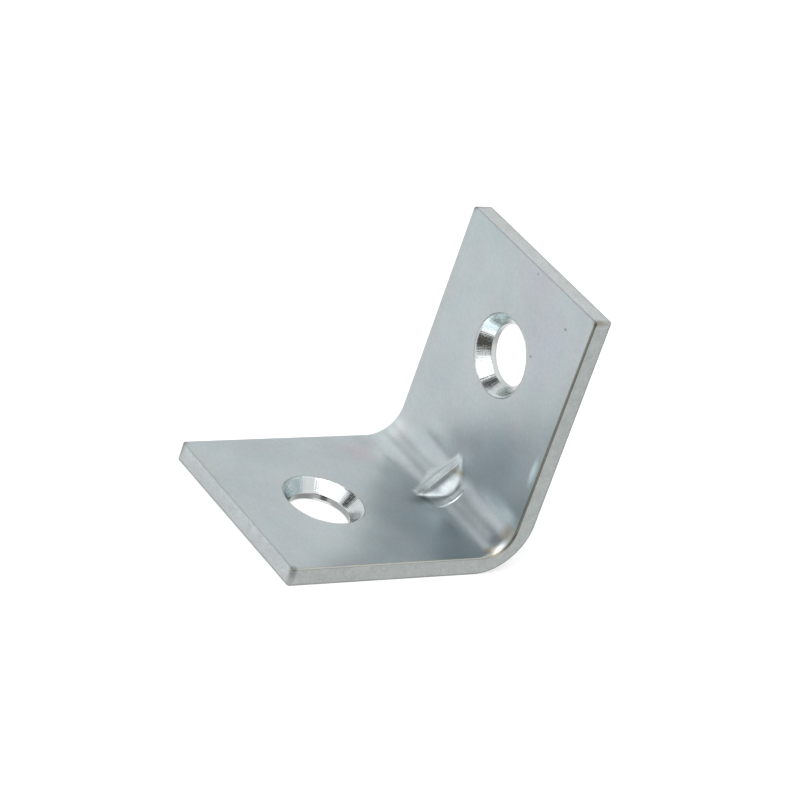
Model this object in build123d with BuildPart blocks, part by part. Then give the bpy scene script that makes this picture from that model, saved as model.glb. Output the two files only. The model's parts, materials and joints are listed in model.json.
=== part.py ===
"""Angle bracket, folded from one strip of zinc-plated sheet steel.

The width runs along X. The base leg lies on the ground and runs towards -Y from
the heel, and the upright leg rises along +Z with its back on the +Y side. The
origin is at the bottom centre of the overall size.
"""

import os
from math import sqrt

from build123d import *

# Blank: leg lengths are taken along the outer faces, from the heel's square corner
base_length = 24.85
upright_length = 26.05
width = 20.0
thickness = 1.8
corner_radius = 0.5
edge_rounding = 0.18

# Fold
inner_bend_radius = 3.1

# Screw holes, one in each leg on the centre line, sunk from the inner face
hole_radius = 2.8
sink_radius = 3.72
sink_angle = 76
base_hole_from_heel = 15.65
upright_hole_from_heel = 16.5

# Stiffening rib, pressed through the fold from outside: heights stand above the fold
rib_half_width = 2.2
rib_shoulder_half_width = 0.55
rib_shoulder_height = 0.6
rib_shoulder_radius = 0.6
rib_peak_height = 1.3
rib_crest_radius = 0.35

# Dent that the rib's punch leaves outside, measured from the outer skin
dent_half_width = 2.1
dent_depth = 1.1
dent_root_radius = 0.45

# Places that follow from the sizes
heel_y = base_length / 2
outer_bend_radius = inner_bend_radius + thickness
base_hole_y = heel_y - base_hole_from_heel

# Rib sections stand square to the chord of the fold, with Y pointing into the angle
rib_section = Plane(
    origin=(0, heel_y - outer_bend_radius, outer_bend_radius),
    x_dir=(1, 0, 0),
    z_dir=(0, -1, -1),
)
rib_root = -inner_bend_radius - thickness / 4
rib_half_length = rib_peak_height - inner_bend_radius + sqrt(2) * (inner_bend_radius + thickness / 4)
dent_mouth = -outer_bend_radius - thickness
dent_flare = dent_half_width * (dent_depth + thickness) / dent_depth
dent_half_length = outer_bend_radius


# Blank and fold
with BuildPart() as angle_bracket:
    with BuildSketch(Plane.YZ.offset(-width / 2)):
        with BuildLine():
            FilletPolyline(
                (heel_y - base_length, 0),
                (heel_y, 0),
                (heel_y, upright_length),
                radius=outer_bend_radius,
            )
            offset(amount=thickness, side=Side.LEFT)
        make_face()
    extrude(amount=width)

    # Plan corners at the free ends
    base_end = edges().filter_by(Axis.Z).group_by(SortBy.LENGTH)[0]
    upright_end = edges().filter_by(Axis.Y).group_by(SortBy.LENGTH)[0]
    fillet(base_end + upright_end, corner_radius)

    # Softened rim of both skins, down the sides and across the free ends
    side_faces = faces().filter_by(Axis.X)
    side_rims = side_faces.edges().filter_by(lambda edge: edge.length > 1.2 * thickness)
    end_rims = edges().filter_by(Axis.X).group_by(Axis.Y)[0] + edges().filter_by(Axis.X).group_by(Axis.Z)[-1]
    fillet(side_rims + end_rims, edge_rounding)

    # Rib: a peaked ridge across the inside of the fold, buried in the legs at both ends
    with BuildSketch(rib_section):
        with BuildLine():
            ridge = FilletPolyline(
                (-rib_half_width, -inner_bend_radius),
                (-rib_shoulder_half_width, rib_shoulder_height - inner_bend_radius),
                (0, rib_peak_height - inner_bend_radius),
                (rib_shoulder_half_width, rib_shoulder_height - inner_bend_radius),
                (rib_half_width, -inner_bend_radius),
                radius=(rib_shoulder_radius, rib_crest_radius, rib_shoulder_radius),
            )
            Polyline(
                ridge @ 1,
                (rib_half_width, rib_root),
                (-rib_half_width, rib_root),
                ridge @ 0,
            )
        make_face()
    extrude(amount=rib_half_length, both=True)

    # Dent: the wedge that the punch leaves across the outside of the fold
    with BuildSketch(rib_section):
        with BuildLine():
            wedge = FilletPolyline(
                (-dent_flare, dent_mouth),
                (0, dent_depth - outer_bend_radius),
                (dent_flare, dent_mouth),
                radius=dent_root_radius,
            )
            Line(wedge @ 1, wedge @ 0)
        make_face()
    extrude(amount=dent_half_length, both=True, mode=Mode.SUBTRACT)

    # Screw holes, sunk from the inner faces
    with Locations(Plane(origin=(0, base_hole_y, thickness), z_dir=(0, 0, 1))):
        CounterSinkHole(hole_radius, sink_radius, counter_sink_angle=sink_angle)
    with Locations(Plane(origin=(0, heel_y - thickness, upright_hole_from_heel), z_dir=(0, -1, 0))):
        CounterSinkHole(hole_radius, sink_radius, counter_sink_angle=sink_angle)

os.makedirs("parts", exist_ok=True)
angle_bracket.part.label = "angle_bracket"
export_step(angle_bracket.part, "parts/angle_bracket.step")
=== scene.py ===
"""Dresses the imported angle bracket: a fine mesh of the folded sheet, its zinc finish, and a studio.

The sheet is laid out flat first, as the maker's blank: x runs across the strip, y along it and z
through its thickness. A geometry node tree then presses the rib and folds the blank, so the finished
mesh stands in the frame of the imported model. All lengths are in metres.
"""

import json
import logging
import math
from dataclasses import dataclass
from enum import IntEnum
from typing import Any, Callable, Sequence

import bpy
import numpy as np
from mathutils import Matrix, Vector


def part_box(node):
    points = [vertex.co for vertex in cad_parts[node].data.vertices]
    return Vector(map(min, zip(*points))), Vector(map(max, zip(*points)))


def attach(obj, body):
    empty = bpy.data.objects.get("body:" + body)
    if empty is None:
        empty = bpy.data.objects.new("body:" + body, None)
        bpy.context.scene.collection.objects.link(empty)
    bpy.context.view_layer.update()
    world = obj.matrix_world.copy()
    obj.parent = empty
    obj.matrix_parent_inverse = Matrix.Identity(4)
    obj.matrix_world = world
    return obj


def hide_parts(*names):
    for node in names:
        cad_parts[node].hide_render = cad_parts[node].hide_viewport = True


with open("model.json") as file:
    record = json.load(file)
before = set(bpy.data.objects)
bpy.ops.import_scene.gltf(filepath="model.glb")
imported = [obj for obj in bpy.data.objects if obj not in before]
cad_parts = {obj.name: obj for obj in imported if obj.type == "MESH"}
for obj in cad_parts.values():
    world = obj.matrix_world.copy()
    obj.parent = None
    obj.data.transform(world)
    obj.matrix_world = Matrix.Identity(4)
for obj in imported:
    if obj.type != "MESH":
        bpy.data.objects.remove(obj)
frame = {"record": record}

LOG = logging.getLogger("angle_bracket")
MM = 0.001
NODE = "angle_bracket"
PICTURE_SIDE = 800

Colour = tuple[float, float, float]
Span = tuple[float, float]
Inset = Callable[[np.ndarray, np.ndarray], np.ndarray]
Socket = bpy.types.NodeSocket


class Finish(IntEnum):
    """The surfaces that the maker leaves differently, by material index."""

    SKIN = 0
    EDGE = 1
    SINK = 2
    BORE = 3


@dataclass(frozen=True)
class Sizes:
    """Sizes of the bracket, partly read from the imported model."""

    width: float
    heel_y: float
    free_end_y: float
    top_z: float
    base_hole_y: float
    upright_hole_z: float
    hole_radius: float
    land: float
    thickness: float = 1.8 * MM
    bend_radius: float = 3.1 * MM
    corner_radius: float = 0.25 * MM
    blunt_corner_radius: float = 0.3 * MM
    edge_rounding: float = 0.13 * MM
    burr_rounding: float = 0.06 * MM
    lip_inset: float = 0.95 * MM
    lip_drop: float = 0.48 * MM
    mouth_rounding: float = 0.09 * MM
    sink_half_angle: float = math.radians(38)

    @classmethod
    def from_frame(cls) -> "Sizes":
        """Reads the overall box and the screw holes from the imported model.

        Returns:
            The bracket's sizes.
        """
        low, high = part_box(NODE)
        mounts = {mount["name"]: mount for mount in frame["record"]["mounts"]}
        base, upright = mounts["base_hole"], mounts["upright_hole"]
        return cls(
            width=high[0] - low[0],
            heel_y=high[1],
            free_end_y=low[1],
            top_z=high[2],
            base_hole_y=base["pos_m"][1],
            upright_hole_z=upright["pos_m"][2],
            hole_radius=base["dims"]["r_mm"] * MM,
            land=base["dims"]["length_mm"] * MM,
        )

    @property
    def outer_bend_radius(self) -> float:
        """Radius of the fold's outer skin."""
        return self.bend_radius + self.thickness

    @property
    def fold_start(self) -> float:
        """Where the fold begins, along the blank. The base leg keeps its own Y there."""
        return self.heel_y - self.outer_bend_radius

    @property
    def fold_run(self) -> float:
        """Length of the fold along the blank, taken at the middle of the sheet."""
        return math.pi / 2 * (self.bend_radius + self.thickness / 2)

    @property
    def sink_radius(self) -> float:
        """Radius of the countersink's mouth."""
        return self.hole_radius + (self.thickness - self.land) * math.tan(self.sink_half_angle)

    def corner_radius_at(self, across: Any, upward: bool) -> Any:
        """Radius of the plan corners: the shear left those of the outer skin blunter on the -X side."""
        blunt = (np.asarray(across) < 0) & (not upward)
        return np.where(blunt, self.blunt_corner_radius, self.corner_radius)

    def along_upright(self, z: float) -> float:
        """Place along the blank of a height on the upright leg."""
        return self.fold_start + self.fold_run + z - self.outer_bend_radius

    @property
    def hole_places(self) -> tuple[float, float]:
        """Places of the two holes along the blank."""
        return self.base_hole_y, self.along_upright(self.upright_hole_z)

    @property
    def blank_middle(self) -> float:
        """Middle of the blank, along it."""
        return (self.free_end_y + self.along_upright(self.top_z)) / 2

    @property
    def blank_reach(self) -> float:
        """Half the blank's length."""
        return (self.along_upright(self.top_z) - self.free_end_y) / 2


def graded(stops: Sequence[float], steps: Sequence[float]) -> np.ndarray:
    """Spaces grid lines whose step changes evenly from stop to stop.

    Args:
        stops: Places that each get a line, in rising order.
        steps: Wanted spacing at each stop.

    Returns:
        All the lines, in rising order.
    """
    lines = [stops[0]]
    for start, stop, first, last in zip(stops, stops[1:], steps, steps[1:]):
        count = max(1, round(2 * (stop - start) / (first + last)))
        share = np.cumsum(np.linspace(first, last, count))
        lines.extend(start + (stop - start) * share / share[-1])
    return np.array(lines)


def new_object(name: str, data: bpy.types.ID) -> bpy.types.Object:
    """Adds an object to the scene.

    Args:
        name: The object's name.
        data: Its mesh or camera.

    Returns:
        The object.
    """
    made = bpy.data.objects.new(name, data)
    bpy.context.scene.collection.objects.link(made)
    return made


@dataclass(frozen=True)
class BlankGrid:
    """Spacing of the blank's mesh.

    The wall's stops and spacing are shares of its height. The mouth's profile runs down the broken edge
    of a countersink: out from the cone's mouth and down from the skin, in shares of the rounding.
    """

    edge_zone: float = 1.4 * MM
    hole_patch: float = 5.0 * MM
    rib_reach: float = 2.9 * MM
    crest_edges: Span = (-0.64 * MM, 0.02 * MM)
    rib_margin: float = 1.3 * MM
    fine: float = 0.085 * MM
    lengthwise: float = 0.12 * MM
    crest: float = 0.015 * MM
    corner: float = 0.15 * MM
    wide: float = 0.45 * MM
    patch_rings: int = 10
    patch_bias: float = 1.6
    rounding_steps: int = 6
    wall_stops: tuple[float, ...] = (0.0, 0.06, 0.94, 1.0)
    wall_spacing: tuple[float, ...] = (0.03, 0.1, 0.1, 0.03)
    sink_steps: int = 8
    bore_steps: int = 5
    land_margin: float = 0.03 * MM
    land_rounding: float = 0.004 * MM
    mouth_profile: tuple[Span, ...] = ((0.35, 0.12), (-0.1, 0.45))
    bore_mouth: float = 0.3


class Blank:
    """The flat blank as one closed mesh of quads: two skins, their outline wall and the hole walls."""

    def __init__(self, sizes: Sizes, grid: BlankGrid) -> None:
        """Lays out the grid lines.

        Args:
            sizes: The bracket's sizes.
            grid: Spacing of the mesh.
        """
        self.sizes = sizes
        self.grid = grid
        s, g = sizes, grid
        self.corner_line = (s.corner_radius - s.edge_rounding) * g.edge_zone / (g.edge_zone - s.edge_rounding)
        half, corner = s.width / 2, self.corner_line / 3
        outer = graded(
            [g.rib_reach, g.hole_patch, half - g.edge_zone, half - self.corner_line, half],
            [g.fine, g.wide, g.corner, g.corner, corner],
        )
        far, near = g.crest_edges
        middle = graded(
            [-g.rib_reach, far, (far + near) / 2, near, g.rib_reach],
            [g.fine, g.crest, g.fine, g.crest, g.fine],
        )
        self.across = np.concatenate([-outer[:0:-1], middle, outer[1:]])
        start, stop = s.fold_start, s.fold_start + s.fold_run
        top = s.along_upright(s.top_z)
        low_hole, high_hole = s.hole_places
        self.along = graded(
            [
                s.free_end_y, s.free_end_y + self.corner_line, s.free_end_y + g.edge_zone,
                low_hole - g.hole_patch, low_hole + g.hole_patch, start - g.rib_margin, start,
                stop, stop + g.rib_margin, high_hole - g.hole_patch, high_hole + g.hole_patch,
                top - g.edge_zone, top - self.corner_line, top,
            ],
            [
                corner, g.corner, g.corner, g.wide, g.wide, g.lengthwise, g.lengthwise,
                g.lengthwise, g.lengthwise, g.wide, g.wide, g.corner, g.corner, corner,
            ],
        )
        self.points: list[np.ndarray] = []
        self.walls: list[np.ndarray] = []
        self.faces: list[tuple[int, ...]] = []
        self.finishes: list[Finish] = []
        self.count = 0

    def lip_share(self, across: np.ndarray, along: np.ndarray) -> np.ndarray:
        """How far the fold has worn the inner edge round, from 0 on the legs to 1 mid-fold.

        Only the +X side is worn: it lay against the side of the die.

        Args:
            across: Places across the blank.
            along: Places along the blank.

        Returns:
            The share at each place.
        """
        s = self.sizes
        turn = np.clip((along - s.fold_start) / s.fold_run, 0, 1)
        return np.sin(math.pi * turn) ** 2 * (across > 0)

    def inner_inset(self, across: np.ndarray, along: np.ndarray) -> np.ndarray:
        """How far inside the sides the inner skin ends: further where the lip is worn."""
        s = self.sizes
        return s.edge_rounding + (s.lip_inset - s.edge_rounding) * self.lip_share(across, along)

    def outer_inset(self, across: np.ndarray, along: np.ndarray) -> np.ndarray:
        """How far inside the sides the outer skin ends."""
        return np.full_like(along, self.sizes.burr_rounding)

    def add(self, points: np.ndarray, walls: np.ndarray) -> np.ndarray:
        """Adds vertices.

        Args:
            points: One row of x, y, z for each vertex.
            walls: Place of each vertex on its nominal wall, for the finishes.

        Returns:
            The vertices' indices.
        """
        self.points.append(points)
        self.walls.append(walls)
        first, self.count = self.count, self.count + len(points)
        return np.arange(first, self.count)

    def add_faces(self, faces: Sequence[Sequence[int]], finish: Finish) -> None:
        """Adds quads of one finish."""
        self.faces.extend(tuple(int(i) for i in face) for face in faces)
        self.finishes.extend([finish] * len(faces))

    def skin(self, height: float, hole_radius: float, inset: Inset) -> dict[str, Any]:
        """Adds one skin of the sheet, with a ring patch round each hole.

        Args:
            height: Height of the skin through the thickness.
            hole_radius: Radius at which the skin ends round each hole.
            inset: Gives how far inside the sides the skin ends, from places across and along the blank.

        Returns:
            The outline loop with its outward directions, and a loop for each hole.
        """
        g, s = self.grid, self.sizes
        upward = height > s.thickness / 2
        y, x = np.meshgrid(self.along, self.across, indexing="ij")
        x, y = self.squeeze(x, y, upward, inset)
        rows, columns = x.shape
        removed = np.zeros((rows - 1, columns - 1), bool)
        keep = np.ones((rows, columns), bool)
        squares = []
        for place in s.hole_places:
            r0, r1 = (int(np.argmin(abs(self.along - place - side * g.hole_patch))) for side in (-1, 1))
            c0, c1 = (int(np.argmin(abs(self.across - side * g.hole_patch))) for side in (-1, 1))
            removed[r0:r1, c0:c1] = True
            keep[r0 + 1:r1, c0 + 1:c1] = False
            squares.append((place, r0, r1, c0, c1))
        index = np.full((rows, columns), -1)
        flat = np.stack([x[keep], y[keep], np.full(keep.sum(), height)], -1)
        index[keep] = self.add(flat, flat)
        quads = [
            (index[i, j], index[i, j + 1], index[i + 1, j + 1], index[i + 1, j])
            for i in range(rows - 1) for j in range(columns - 1) if not removed[i, j]
        ]
        bores = []
        for place, r0, r1, c0, c1 in squares:
            cells = self.ring_cells(r0, r1, c0, c1)
            loop = np.array([index[cell] for cell in cells])
            square = np.array([(x[cell], y[cell]) for cell in cells])
            centre = np.array([0.0, place])
            away = square - centre
            away /= np.linalg.norm(away, axis=1)[:, None]
            circle = centre + away * hole_radius
            for k in range(1, g.patch_rings + 1):
                share = 1 - (1 - k / g.patch_rings) ** g.patch_bias
                ring = square + (circle - square) * share
                level = np.column_stack([ring, np.full(len(ring), height)])
                inner = self.add(level, level)
                quads.extend(self.band(loop, inner))
                loop = inner
            bores.append({"loop": loop, "centre": centre, "away": away})
        cells = self.ring_cells(0, rows - 1, 0, columns - 1)
        rim = np.array([index[cell] for cell in cells])
        outline = np.array([(x[cell], y[cell]) for cell in cells])
        self.add_faces(quads if upward else [quad[::-1] for quad in quads], Finish.SKIN)
        outward = self.outward(cells, outline, upward)
        return {"rim": rim, "outline": outline, "outward": outward, "bores": bores}

    def squeeze(
        self, x: np.ndarray, y: np.ndarray, upward: bool, inset: Inset
    ) -> tuple[np.ndarray, np.ndarray]:
        """Draws the outermost grid lines in by the inset and rounds the plan corners.

        Args:
            x: Grid places across.
            y: Grid places along.
            upward: Whether this is the inner skin.
            inset: Gives the inset at the sides, from places across and along the blank.

        Returns:
            The new places across and along.
        """
        s, zone = self.sizes, self.grid.edge_zone
        end_inset = s.edge_rounding if upward else s.burr_rounding
        half = s.width / 2
        middle, reach = s.blank_middle, s.blank_reach
        across = self.draw_in(x, half, zone, inset(x, y))
        along = self.draw_in(y - middle, reach, zone, end_inset)
        corner_radius = s.corner_radius_at(across, upward)
        radius = corner_radius - end_inset
        u = (abs(across) - (half - corner_radius)) / radius
        v = (abs(along) - (reach - corner_radius)) / radius
        corner = (u > 0) & (v > 0)
        shrink = np.where(corner, np.maximum(u, v) / np.maximum(np.hypot(u, v), 1e-9), 1)
        across = np.where(corner, np.sign(across) * (half - corner_radius + u * shrink * radius), across)
        along = np.where(corner, np.sign(along) * (reach - corner_radius + v * shrink * radius), along)
        return across, along + middle

    @staticmethod
    def draw_in(place: np.ndarray, half: float, zone: float, inset: Any) -> np.ndarray:
        """Moves places in the edge zone inwards, so that the outermost ends inset from the edge."""
        depth = np.maximum(abs(place) - (half - zone), 0)
        return place - np.sign(place) * depth * inset / zone

    @staticmethod
    def ring_cells(r0: int, r1: int, c0: int, c1: int) -> list[tuple[int, int]]:
        """Grid cells on a rectangle's border, anticlockwise from its lowest corner."""
        return (
            [(r0, c) for c in range(c0, c1)]
            + [(r, c1) for r in range(r0, r1)]
            + [(r1, c) for c in range(c1, c0, -1)]
            + [(r, c0) for r in range(r1, r0, -1)]
        )

    def outward(self, cells: list[tuple[int, int]], outline: np.ndarray, upward: bool) -> np.ndarray:
        """Finds the outward plan direction at each place of a skin's outline.

        Args:
            cells: Grid cells of the outline.
            outline: Their places across and along.
            upward: Whether this is the inner skin.

        Returns:
            One unit direction for each place.
        """
        s = self.sizes
        rows, columns = len(self.along) - 1, len(self.across) - 1
        middle, reach = s.blank_middle, s.blank_reach
        directions = []
        for (row, column), (x, y) in zip(cells, outline):
            radius = float(s.corner_radius_at(x, upward))
            u = abs(x) - (s.width / 2 - radius)
            v = abs(y - middle) - (reach - radius)
            if u > 0 and v > 0:
                directions.append((math.copysign(u, x), math.copysign(v, y - middle)))
            else:
                directions.append(
                    (float(column == columns) - float(column == 0), float(row == rows) - float(row == 0))
                )
        found = np.array(directions)
        return found / np.linalg.norm(found, axis=1)[:, None]

    @staticmethod
    def band(outer: np.ndarray, inner: np.ndarray) -> list[tuple[int, int, int, int]]:
        """Quads between two loops of as many vertices."""
        following = np.roll(np.arange(len(outer)), -1)
        return [(outer[i], outer[k], inner[k], inner[i]) for i, k in enumerate(following)]

    def wall(
        self,
        top: np.ndarray,
        bottom: np.ndarray,
        rings: Sequence[np.ndarray],
        nominal: np.ndarray,
        finishes: Sequence[Finish],
    ) -> None:
        """Joins a loop of the inner skin to the matching loop of the outer skin.

        Args:
            top: Loop on the inner skin.
            bottom: Loop on the outer skin.
            rings: Places of the rings between them, from the top down.
            nominal: Plan place of the wall at each vertex, for the finishes.
            finishes: The finish of each band, one more than there are rings.
        """
        loop = top
        for ring, finish in zip(rings, finishes):
            fresh = self.add(ring, np.column_stack([nominal, ring[:, 2]]))
            self.add_faces([quad[::-1] for quad in self.band(loop, fresh)], finish)
            loop = fresh
        self.add_faces([quad[::-1] for quad in self.band(loop, bottom)], finishes[-1])

    def outline_wall(self, upper: dict[str, Any], lower: dict[str, Any]) -> None:
        """Adds the sheared wall round the outline, with both of its rounded edges.

        Args:
            upper: The inner skin's loops.
            lower: The outer skin's loops.
        """
        s, g = self.sizes, self.grid
        x, y = upper["outline"].T
        inset = self.inner_inset(x, y)
        drop = s.edge_rounding + (s.lip_drop - s.edge_rounding) * self.lip_share(x, y)
        face = upper["outline"] + upper["outward"] * inset[:, None]
        foot = lower["outline"] + lower["outward"] * s.burr_rounding
        rings = []
        for angle in np.linspace(0, math.pi / 2, g.rounding_steps + 1)[1:]:
            plan = face - upper["outward"] * (inset * (1 - math.sin(angle)))[:, None]
            rings.append(np.column_stack([plan, s.thickness - drop * (1 - math.cos(angle))]))
        for share_down in graded(g.wall_stops, g.wall_spacing)[1:]:
            height = s.thickness - drop + (s.burr_rounding - s.thickness + drop) * share_down
            rings.append(np.column_stack([face + (foot - face) * share_down, height]))
        for angle in np.linspace(math.pi / 2, 0, g.rounding_steps + 1)[1:-1]:
            plan = foot - lower["outward"] * s.burr_rounding * (1 - math.sin(angle))
            rings.append(np.column_stack([plan, np.full(len(plan), s.burr_rounding * (1 - math.cos(angle)))]))
        rim, sheared = [Finish.SKIN] * g.rounding_steps, len(rings) + 1 - 2 * g.rounding_steps
        self.wall(upper["rim"], lower["rim"], rings, face, rim + [Finish.EDGE] * sheared + rim)

    def hole_wall(self, upper: dict[str, Any], lower: dict[str, Any]) -> None:
        """Adds a countersink's cone and the straight wall under it.

        Args:
            upper: One hole's loop on the inner skin.
            lower: The same hole's loop on the outer skin.
        """
        s, g = self.sizes, self.grid
        slope, broken = math.tan(s.sink_half_angle), s.mouth_rounding
        levels = []
        for out, down in g.mouth_profile:
            levels.append((s.sink_radius + out * broken, s.thickness - down * broken))
        for height in np.linspace(s.thickness - broken, s.land + g.land_margin, g.sink_steps):
            levels.append((s.hole_radius + (height - s.land) * slope, height))
        sink_bands = len(levels)
        levels.append((s.hole_radius + g.land_rounding, s.land))
        for height in np.linspace(s.land - g.land_margin, broken, g.bore_steps):
            levels.append((s.hole_radius, height))
        levels.append((s.hole_radius + g.bore_mouth * broken, g.bore_mouth * broken))
        rings = [
            np.column_stack([upper["centre"] + upper["away"] * radius, np.full(len(upper["away"]), height)])
            for radius, height in levels
        ]
        finishes = [Finish.SKIN] + [Finish.SINK] * sink_bands + [Finish.BORE] * (len(levels) - sink_bands)
        nominal = upper["centre"] + upper["away"] * s.hole_radius
        self.wall(upper["loop"], lower["loop"], rings, nominal, finishes)

    def build(self) -> bpy.types.Object:
        """Builds the blank's mesh.

        Returns:
            A mesh object with the wall place and finish of each part stored on it.
        """
        s = self.sizes
        upper = self.skin(s.thickness, s.sink_radius + s.mouth_rounding, self.inner_inset)
        lower = self.skin(0.0, s.hole_radius + s.mouth_rounding, self.outer_inset)
        self.outline_wall(upper, lower)
        for top, bottom in zip(upper["bores"], lower["bores"]):
            self.hole_wall(top, bottom)
        mesh = bpy.data.meshes.new("flat_blank")
        mesh.from_pydata(np.concatenate(self.points).tolist(), [], self.faces)
        wall = mesh.attributes.new("wall", "FLOAT_VECTOR", "POINT")
        wall.data.foreach_set("vector", np.concatenate(self.walls).astype(np.float32).ravel())
        finish = mesh.attributes.new("finish", "INT", "FACE")
        finish.data.foreach_set("value", np.array(self.finishes, np.int32))
        mesh.update()
        return new_object("flat_blank", mesh)


class Graph:
    """Adds nodes to a shader or geometry tree and joins them."""

    def __init__(self, tree: bpy.types.NodeTree) -> None:
        """Takes the tree to add to."""
        self.tree = tree

    def put(self, node: bpy.types.Node, socket: Any, value: Any) -> None:
        """Sets an input to a constant, or joins an output to it.

        Args:
            node: The node that has the input.
            socket: The input's name or number.
            value: The constant or the output.
        """
        target = node.inputs[socket]
        if isinstance(value, Socket):
            self.tree.links.new(value, target)
        else:
            target.default_value = value

    def add(self, kind: str, inputs: dict[Any, Any] | None = None, **settings: Any) -> bpy.types.Node:
        """Adds a node.

        Args:
            kind: The node's type.
            inputs: Values or outputs for its inputs, by name or number.
            settings: Properties of the node itself.

        Returns:
            The node.
        """
        node = self.tree.nodes.new(kind)
        for name, value in settings.items():
            setattr(node, name, value)
        for socket, value in (inputs or {}).items():
            self.put(node, socket, value)
        return node

    def math(self, operation: str, *values: Any, clamp: bool = False) -> Socket:
        """Adds a Math node and returns its result."""
        node = self.add("ShaderNodeMath", dict(enumerate(values)), operation=operation, use_clamp=clamp)
        return node.outputs[0]

    def vector(self, operation: str, *values: Any) -> Socket:
        """Adds a Vector Math node and returns its vector, or its value where it gives one."""
        node = self.add("ShaderNodeVectorMath", dict(enumerate(values)), operation=operation)
        return node.outputs[1 if operation in ("DOT_PRODUCT", "LENGTH") else 0]

    def combine(self, x: Any, y: Any, z: Any) -> Socket:
        """Joins three values into a vector."""
        return self.add("ShaderNodeCombineXYZ", {0: x, 1: y, 2: z}).outputs[0]

    def split(self, place: Any) -> tuple[Socket, ...]:
        """Splits a vector into its three values."""
        return tuple(self.add("ShaderNodeSeparateXYZ", {0: place}).outputs)

    def remap(self, value: Any, low: Any, high: Any, to_low: Any, to_high: Any) -> Socket:
        """Maps a value smoothly from one range to another, clamped to it."""
        node = self.add(
            "ShaderNodeMapRange",
            {"Value": value, "From Min": low, "From Max": high, "To Min": to_low, "To Max": to_high},
            interpolation_type="SMOOTHSTEP",
        )
        return node.outputs[0]

    def toned(self, colour: Colour, tone: Any) -> Socket:
        """Multiplies a colour by one value."""
        return self.add("ShaderNodeVectorMath", {0: colour, "Scale": tone}, operation="SCALE").outputs[0]

    def tint(self, amount: Any, change: Colour) -> Socket:
        """White where the amount is 0, and white with the whole change where it is 1."""
        return self.vector("MULTIPLY_ADD", self.combine(amount, amount, amount), change, (1, 1, 1))

    def mix(self, share: Any, first: Any, second: Any) -> Socket:
        """Mixes two vectors."""
        return self.add("ShaderNodeMix", {0: share, 4: first, 5: second}, data_type="VECTOR").outputs[1]

    def relief(self, shader: bpy.types.Node, height: Any, distance: float) -> None:
        """Bumps a shader's normal."""
        bump = self.add("ShaderNodeBump", {"Height": height, "Distance": distance, "Strength": 1.0})
        self.put(shader, "Normal", bump.outputs[0])


def new_graph(owner: bpy.types.Material | bpy.types.World) -> Graph:
    """Empties the node tree of a material or a world.

    Args:
        owner: The material or the world.

    Returns:
        The tree's graph.
    """
    owner.use_nodes = True
    owner.node_tree.nodes.clear()
    return Graph(owner.node_tree)


def new_interface(
    tree: bpy.types.NodeTree, inputs: dict[str, tuple[str, Any]], outputs: dict[str, str]
) -> None:
    """Gives a node tree its named inputs and outputs.

    Args:
        tree: The tree.
        inputs: Socket type and default of each input, by name.
        outputs: Socket type of each output, by name.
    """
    for name, (kind, default) in inputs.items():
        socket = tree.interface.new_socket(name, in_out="INPUT", socket_type=kind)
        if default is not None:
            socket.default_value = default
    for name, kind in outputs.items():
        tree.interface.new_socket(name, in_out="OUTPUT", socket_type=kind)


@dataclass(frozen=True)
class Rib:
    """The stiffening rib, as it stands at the middle of the fold, and the dent behind it.

    The pad is the half-moon imprint round the rib. Its fine step fades out towards both ends of the fold,
    by the turn, and towards the -X side.
    """

    middle: float = -0.31 * MM
    crest_height: float = 1.15 * MM
    crest_half_width: float = 0.33 * MM
    crest_rounding: float = 0.01 * MM
    wall_slope: float = 1.45
    flank_height: float = 1.07 * MM
    flank_width: float = 2.38 * MM
    flank_power: float = 2.8
    foot_softness: float = 0.06 * MM
    end_softness: float = 0.9 * MM
    end_share: float = 0.5
    least_softness: float = 0.01 * MM
    pad_half_width: float = 2.3 * MM
    pad_middle: float = math.radians(33)
    pad_reach: float = math.radians(50)
    pad_power: float = 4.0
    pad_step: float = 0.08 * MM
    pad_step_width: float = 0.19 * MM
    pad_start: float = 0.25
    pad_fade: float = 0.85
    pad_end: float = 1.25
    pad_bare: float = -1.6 * MM
    pad_full: float = -0.2 * MM
    dent_half_width: float = 2.1 * MM
    dent_depth: float = 1.1 * MM
    dent_softness: float = 0.28 * MM


@dataclass(frozen=True)
class DieRoll:
    """The slight fall of the inner skin towards the side that the shear met first."""

    roll_reach: float = 2.4 * MM
    roll_depth: float = 0.09 * MM


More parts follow.
